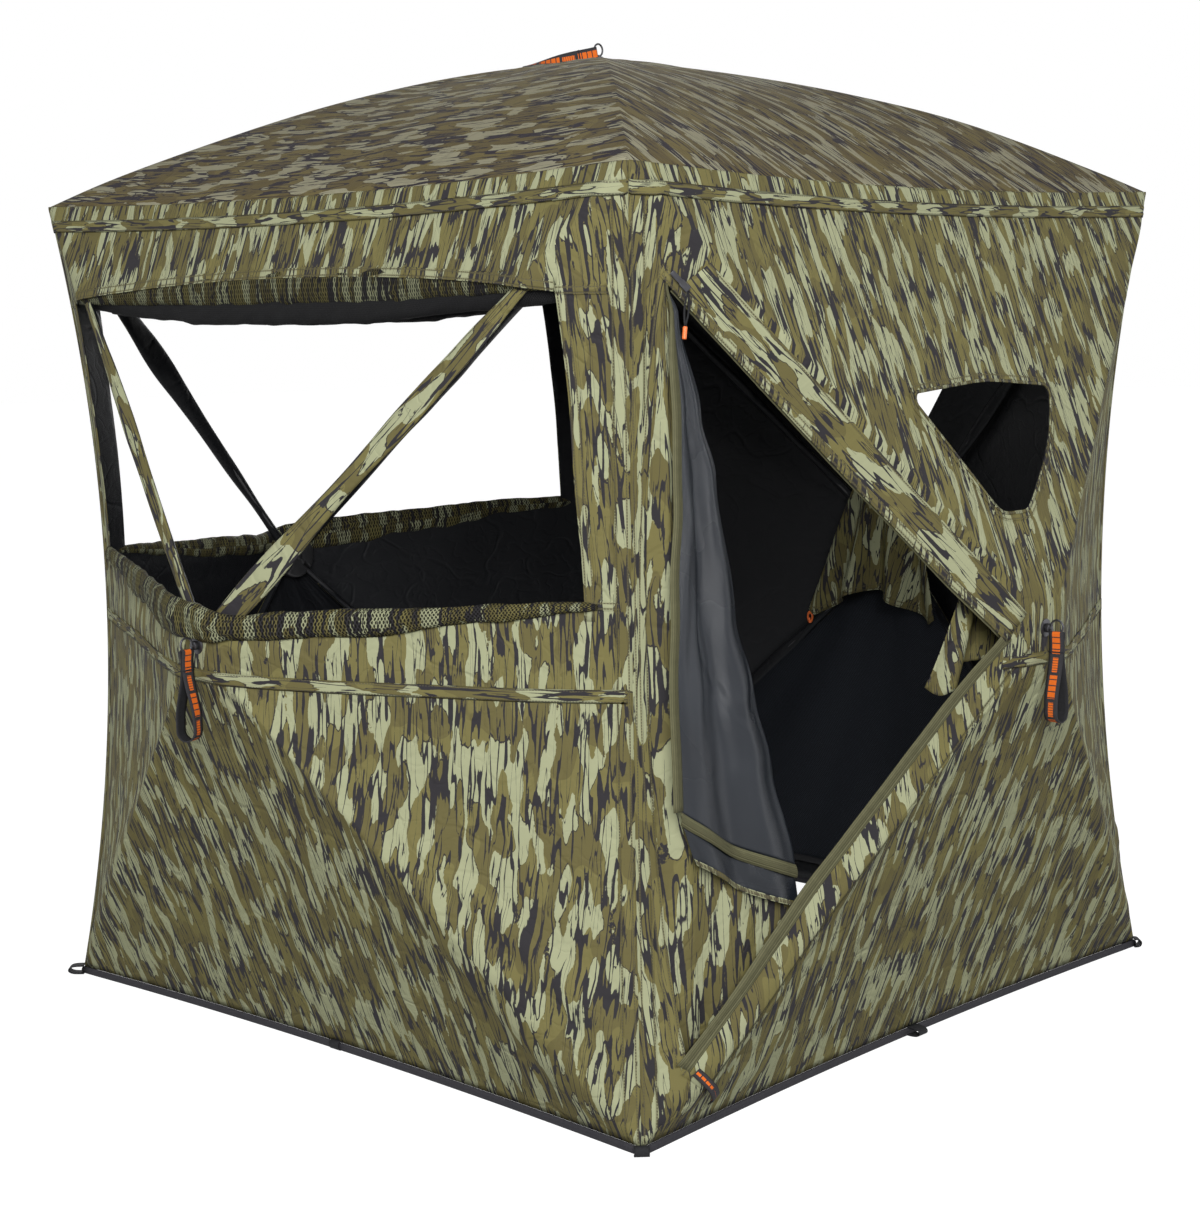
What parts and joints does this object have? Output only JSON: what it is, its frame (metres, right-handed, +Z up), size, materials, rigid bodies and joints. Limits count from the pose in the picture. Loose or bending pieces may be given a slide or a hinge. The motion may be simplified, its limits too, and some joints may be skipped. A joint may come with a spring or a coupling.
{
  "type": "pop up ground blind",
  "caption": "Square pop up hunting blind with hub-tensioned fabric walls and roof, wide corner windows, ported shooting windows and a folded-back zip door.",
  "frame": {"origin": "centre of the footprint, on the ground", "axes": "+Z up; the wall with the door faces -Y, the wall with the wide window beside it faces -X"},
  "size_m": [2.0202, 2.0202, 1.77],
  "materials": {
    "camo_fabric": "matt printed woven polyester with streaked camouflage in stone, olive and charcoal",
    "lining_fabric": "satin dark grey coating on the fabric's inner side",
    "window_mesh": "open knitted mesh, printed outside and black inside",
    "webbing": "matt black woven webbing and binding",
    "zip_tape": "olive woven zip tape with moulded teeth",
    "hub_plastic": "black glass-filled nylon, fine grain",
    "pole_fibreglass": "black pultruded fibreglass rod, satin",
    "steel": "dark plated steel",
    "slider_plastic": "black moulded slider and pull"
  },
  "bodies": {
    "root": {"wall_front": "camo_fabric", "wall_right": "camo_fabric", "wall_back": "camo_fabric", "wall_left": "camo_fabric", "roof_skin": "camo_fabric", "ground_hem": "webbing", "corner_pocket_front_left": "webbing", "corner_pocket_front_right": "webbing", "corner_pocket_back_right": "webbing", "corner_pocket_back_left": "webbing", "gear_pocket": "window_mesh", "door_zip_tape": "zip_tape", "sill_roll_left": "window_mesh", "sill_roll_back": "window_mesh"},
    "hub_front": {"hub_front": "hub_plastic", "ring_bolt_front": "steel"},
    "pole_front_top_left": {"pole_front_top_left": "pole_fibreglass"},
    "pole_front_top_right": {"pole_front_top_right": "pole_fibreglass"},
    "pole_front_bottom_left": {"pole_front_bottom_left": "pole_fibreglass"},
    "pole_front_bottom_right": {"pole_front_bottom_right": "pole_fibreglass"},
    "pull_strap_front": {"pull_strap_front": "webbing"},
    "hub_right": {"hub_right": "hub_plastic", "ring_bolt_right": "steel"},
    "pole_right_top_left": {"pole_right_top_left": "pole_fibreglass"},
    "pole_right_top_right": {"pole_right_top_right": "pole_fibreglass"},
    "pole_right_bottom_left": {"pole_right_bottom_left": "pole_fibreglass"},
    "pole_right_bottom_right": {"pole_right_bottom_right": "pole_fibreglass"},
    "pull_strap_right": {"pull_strap_right": "webbing"},
    "hub_back": {"hub_back": "hub_plastic", "ring_bolt_back": "steel"},
    "pole_back_top_left": {"pole_back_top_left": "pole_fibreglass"},
    "pole_back_top_right": {"pole_back_top_right": "pole_fibreglass"},
    "pole_back_bottom_left": {"pole_back_bottom_left": "pole_fibreglass"},
    "pole_back_bottom_right": {"pole_back_bottom_right": "pole_fibreglass"},
    "pull_strap_back": {"pull_strap_back": "webbing"},
    "hub_left": {"hub_left": "hub_plastic", "ring_bolt_left": "steel"},
    "pole_left_top_left": {"pole_left_top_left": "pole_fibreglass"},
    "pole_left_top_right": {"pole_left_top_right": "pole_fibreglass"},
    "pole_left_bottom_left": {"pole_left_bottom_left": "pole_fibreglass"},
    "pole_left_bottom_right": {"pole_left_bottom_right": "pole_fibreglass"},
    "pull_strap_left": {"pull_strap_left": "webbing"},
    "hub_roof": {"hub_roof": "hub_plastic", "ring_bolt_roof": "steel"},
    "pole_roof_front_left": {"pole_roof_front_left": "pole_fibreglass"},
    "pole_roof_front_right": {"pole_roof_front_right": "pole_fibreglass"},
    "pole_roof_back_right": {"pole_roof_back_right": "pole_fibreglass"},
    "pole_roof_back_left": {"pole_roof_back_left": "pole_fibreglass"},
    "pull_strap_roof": {"pull_strap_roof": "webbing"},
    "curtain_header_left": {"curtain_header_left": "webbing"},
    "window_curtain_left": {"window_curtain_left": "window_mesh"},
    "curtain_header_back": {"curtain_header_back": "webbing"},
    "window_curtain_back": {"window_curtain_back": "window_mesh"},
    "window_flap_front": {"window_flap_front": "camo_fabric"},
    "window_flap_right": {"window_flap_right": "camo_fabric"},
    "door_flap": {"door_flap": "lining_fabric"},
    "zip_slider_upper": {"zip_slider_upper": "slider_plastic"},
    "zip_slider_lower": {"zip_slider_lower": "slider_plastic"}
  },
  "joints": [
    {"name": "hub_front_pop", "type": "slide", "parent": "root", "child": "hub_front", "axis": [0, -1, 0], "range_m": [-0.4577, 0], "deforming": ["wall_front", "door_zip_tape", "ground_hem"]},
    {"name": "pole_front_top_left_swing", "type": "hinge", "parent": "hub_front", "child": "pole_front_top_left", "pos_m": [-0.02401, -0.95865, 0.77207], "axis": [-0.7081, 0, -0.7061], "range_deg": [-26.78, 0.5]},
    {"name": "pole_front_top_right_swing", "type": "hinge", "parent": "hub_front", "child": "pole_front_top_right", "pos_m": [0.02401, -0.95865, 0.77207], "axis": [-0.7081, 0, 0.7061], "range_deg": [-26.78, 0.5]},
    {"name": "pole_front_bottom_left_swing", "type": "hinge", "parent": "hub_front", "child": "pole_front_bottom_left", "pos_m": [-0.02409, -0.95865, 0.72401], "axis": [0.7057, 0, -0.7085], "range_deg": [-26.87, 0.5]},
    {"name": "pole_front_bottom_right_swing", "type": "hinge", "parent": "hub_front", "child": "pole_front_bottom_right", "pos_m": [0.02409, -0.95865, 0.72401], "axis": [0.7057, 0, 0.7085], "range_deg": [-26.87, 0.5]},
    {"name": "pull_strap_front_swing", "type": "hinge", "parent": "hub_front", "child": "pull_strap_front", "pos_m": [0, -1.00135, 0.748], "axis": [-1, 0, 0], "range_deg": [-15, 110]},
    {"name": "hub_right_pop", "type": "slide", "parent": "root", "child": "hub_right", "axis": [1, 0, 0], "range_m": [-0.4577, 0], "deforming": ["wall_right", "gear_pocket"]},
    {"name": "pole_right_top_left_swing", "type": "hinge", "parent": "hub_right", "child": "pole_right_top_left", "pos_m": [0.95865, -0.02401, 0.77207], "axis": [0, -0.7081, -0.7061], "range_deg": [-26.78, 0.5]},
    {"name": "pole_right_top_right_swing", "type": "hinge", "parent": "hub_right", "child": "pole_right_top_right", "pos_m": [0.95865, 0.02401, 0.77207], "axis": [0, -0.7081, 0.7061], "range_deg": [-26.78, 0.5]},
    {"name": "pole_right_bottom_left_swing", "type": "hinge", "parent": "hub_right", "child": "pole_right_bottom_left", "pos_m": [0.95865, -0.02409, 0.72401], "axis": [0, 0.7057, -0.7085], "range_deg": [-26.87, 0.5]},
    {"name": "pole_right_bottom_right_swing", "type": "hinge", "parent": "hub_right", "child": "pole_right_bottom_right", "pos_m": [0.95865, 0.02409, 0.72401], "axis": [0, 0.7057, 0.7085], "range_deg": [-26.87, 0.5]},
    {"name": "pull_strap_right_swing", "type": "hinge", "parent": "hub_right", "child": "pull_strap_right", "pos_m": [1.00135, 0, 0.748], "axis": [0, -1, 0], "range_deg": [-15, 110]},
    {"name": "hub_back_pop", "type": "slide", "parent": "root", "child": "hub_back", "axis": [0, 1, 0], "range_m": [-0.4577, 0], "deforming": ["wall_back", "sill_roll_back"]},
    {"name": "pole_back_top_left_swing", "type": "hinge", "parent": "hub_back", "child": "pole_back_top_left", "pos_m": [0.02401, 0.95865, 0.77207], "axis": [0.7081, 0, -0.7061], "range_deg": [-26.78, 0.5]},
    {"name": "pole_back_top_right_swing", "type": "hinge", "parent": "hub_back", "child": "pole_back_top_right", "pos_m": [-0.02401, 0.95865, 0.77207], "axis": [0.7081, 0, 0.7061], "range_deg": [-26.78, 0.5]},
    {"name": "pole_back_bottom_left_swing", "type": "hinge", "parent": "hub_back", "child": "pole_back_bottom_left", "pos_m": [0.02409, 0.95865, 0.72401], "axis": [-0.7057, 0, -0.7085], "range_deg": [-26.87, 0.5]},
    {"name": "pole_back_bottom_right_swing", "type": "hinge", "parent": "hub_back", "child": "pole_back_bottom_right", "pos_m": [-0.02409, 0.95865, 0.72401], "axis": [-0.7057, 0, 0.7085], "range_deg": [-26.87, 0.5]},
    {"name": "pull_strap_back_swing", "type": "hinge", "parent": "hub_back", "child": "pull_strap_back", "pos_m": [0, 1.00135, 0.748], "axis": [1, 0, 0], "range_deg": [-15, 110]},
    {"name": "hub_left_pop", "type": "slide", "parent": "root", "child": "hub_left", "axis": [-1, 0, 0], "range_m": [-0.4577, 0], "deforming": ["wall_left", "sill_roll_left"]},
    {"name": "pole_left_top_left_swing", "type": "hinge", "parent": "hub_left", "child": "pole_left_top_left", "pos_m": [-0.95865, 0.02401, 0.77207], "axis": [0, 0.7081, -0.7061], "range_deg": [-26.78, 0.5]},
    {"name": "pole_left_top_right_swing", "type": "hinge", "parent": "hub_left", "child": "pole_left_top_right", "pos_m": [-0.95865, -0.02401, 0.77207], "axis": [0, 0.7081, 0.7061], "range_deg": [-26.78, 0.5]},
    {"name": "pole_left_bottom_left_swing", "type": "hinge", "parent": "hub_left", "child": "pole_left_bottom_left", "pos_m": [-0.95865, 0.02409, 0.72401], "axis": [0, -0.7057, -0.7085], "range_deg": [-26.87, 0.5]},
    {"name": "pole_left_bottom_right_swing", "type": "hinge", "parent": "hub_left", "child": "pole_left_bottom_right", "pos_m": [-0.95865, -0.02409, 0.72401], "axis": [0, -0.7057, 0.7085], "range_deg": [-26.87, 0.5]},
    {"name": "pull_strap_left_swing", "type": "hinge", "parent": "hub_left", "child": "pull_strap_left", "pos_m": [-1.00135, 0, 0.748], "axis": [0, 1, 0], "range_deg": [-15, 110]},
    {"name": "hub_roof_pop", "type": "slide", "parent": "root", "child": "hub_roof", "axis": [0, 0, 1], "range_m": [-0.4736, 0], "deforming": ["roof_skin", "corner_pocket_front_left", "corner_pocket_front_right", "corner_pocket_back_right", "corner_pocket_back_left"]},
    {"name": "pole_roof_front_left_swing", "type": "hinge", "parent": "hub_roof", "child": "pole_roof_front_left", "pos_m": [-0.02404, -0.02404, 1.72165], "axis": [0.7071, -0.7071, 0], "range_deg": [-27.67, 0.5]},
    {"name": "pole_roof_front_right_swing", "type": "hinge", "parent": "hub_roof", "child": "pole_roof_front_right", "pos_m": [0.02404, -0.02404, 1.72165], "axis": [0.7071, 0.7071, 0], "range_deg": [-27.67, 0.5]},
    {"name": "pole_roof_back_right_swing", "type": "hinge", "parent": "hub_roof", "child": "pole_roof_back_right", "pos_m": [0.02404, 0.02404, 1.72165], "axis": [-0.7071, 0.7071, 0], "range_deg": [-27.67, 0.5]},
    {"name": "pole_roof_back_left_swing", "type": "hinge", "parent": "hub_roof", "child": "pole_roof_back_left", "pos_m": [-0.02404, 0.02404, 1.72165], "axis": [-0.7071, -0.7071, 0], "range_deg": [-27.67, 0.5]},
    {"name": "pull_strap_roof_swing", "type": "hinge", "parent": "hub_roof", "child": "pull_strap_roof", "pos_m": [0, 0, 1.76435], "axis": [0, 1, 0], "range_deg": [0, 195]},
    {"name": "curtain_header_left_shift", "type": "slide", "parent": "root", "child": "curtain_header_left", "axis": [-1, 0, 0], "range_m": [-0.115, 0.001]},
    {"name": "window_curtain_left_slide", "type": "slide", "parent": "curtain_header_left", "child": "window_curtain_left", "axis": [-0.347, 0, -0.9379], "range_m": [0, 0.444]},
    {"name": "curtain_header_back_shift", "type": "slide", "parent": "root", "child": "curtain_header_back", "axis": [0, 1, 0], "range_m": [-0.115, 0.001]},
    {"name": "window_curtain_back_slide", "type": "slide", "parent": "curtain_header_back", "child": "window_curtain_back", "axis": [0, 0.347, -0.9379], "range_m": [0, 0.444]},
    {"name": "window_flap_front_swing", "type": "hinge", "parent": "hub_front", "child": "window_flap_front", "pos_m": [0, -0.91999, 0.937], "axis": [1, 0, 0], "range_deg": [0, 150]},
    {"name": "window_flap_right_swing", "type": "hinge", "parent": "hub_right", "child": "window_flap_right", "pos_m": [0.91999, 0, 0.937], "axis": [0, 1, 0], "range_deg": [0, 150]},
    {"name": "door_flap_swing", "type": "hinge", "parent": "root", "child": "door_flap", "pos_m": [-0.676, -0.762, 0.7], "axis": [0, 0, -1], "range_deg": [-80, 100]},
    {"name": "zip_slider_upper_slide", "type": "slide", "parent": "root", "child": "zip_slider_upper", "axis": [0.6783, -0.2517, -0.6903], "range_m": [0, 0.789]},
    {"name": "zip_slider_lower_slide", "type": "slide", "parent": "root", "child": "zip_slider_lower", "axis": [0.6616, -0.2351, 0.712], "range_m": [0, 0.81]}
  ],
  "couplings": [
    {"joint": "pole_front_top_left_swing", "follows": "hub_front_pop", "rad_per_m": 1.0021},
    {"joint": "pole_front_top_right_swing", "follows": "hub_front_pop", "rad_per_m": 1.0021},
    {"joint": "pole_front_bottom_left_swing", "follows": "hub_front_pop", "rad_per_m": 1.0054},
    {"joint": "pole_front_bottom_right_swing", "follows": "hub_front_pop", "rad_per_m": 1.0054},
    {"joint": "pole_right_top_left_swing", "follows": "hub_right_pop", "rad_per_m": 1.0021},
    {"joint": "pole_right_top_right_swing", "follows": "hub_right_pop", "rad_per_m": 1.0021},
    {"joint": "pole_right_bottom_left_swing", "follows": "hub_right_pop", "rad_per_m": 1.0054},
    {"joint": "pole_right_bottom_right_swing", "follows": "hub_right_pop", "rad_per_m": 1.0054},
    {"joint": "pole_back_top_left_swing", "follows": "hub_back_pop", "rad_per_m": 1.0021},
    {"joint": "pole_back_top_right_swing", "follows": "hub_back_pop", "rad_per_m": 1.0021},
    {"joint": "pole_back_bottom_left_swing", "follows": "hub_back_pop", "rad_per_m": 1.0054},
    {"joint": "pole_back_bottom_right_swing", "follows": "hub_back_pop", "rad_per_m": 1.0054},
    {"joint": "pole_left_top_left_swing", "follows": "hub_left_pop", "rad_per_m": 1.0021},
    {"joint": "pole_left_top_right_swing", "follows": "hub_left_pop", "rad_per_m": 1.0021},
    {"joint": "pole_left_bottom_left_swing", "follows": "hub_left_pop", "rad_per_m": 1.0054},
    {"joint": "pole_left_bottom_right_swing", "follows": "hub_left_pop", "rad_per_m": 1.0054},
    {"joint": "pole_roof_front_left_swing", "follows": "hub_roof_pop", "rad_per_m": 1.0014},
    {"joint": "pole_roof_front_right_swing", "follows": "hub_roof_pop", "rad_per_m": 1.0014},
    {"joint": "pole_roof_back_right_swing", "follows": "hub_roof_pop", "rad_per_m": 1.0014},
    {"joint": "pole_roof_back_left_swing", "follows": "hub_roof_pop", "rad_per_m": 1.0014},
    {"joint": "curtain_header_left_shift", "follows": "hub_left_pop", "ratio": 0.24},
    {"joint": "curtain_header_back_shift", "follows": "hub_back_pop", "ratio": 0.24}
  ]
}
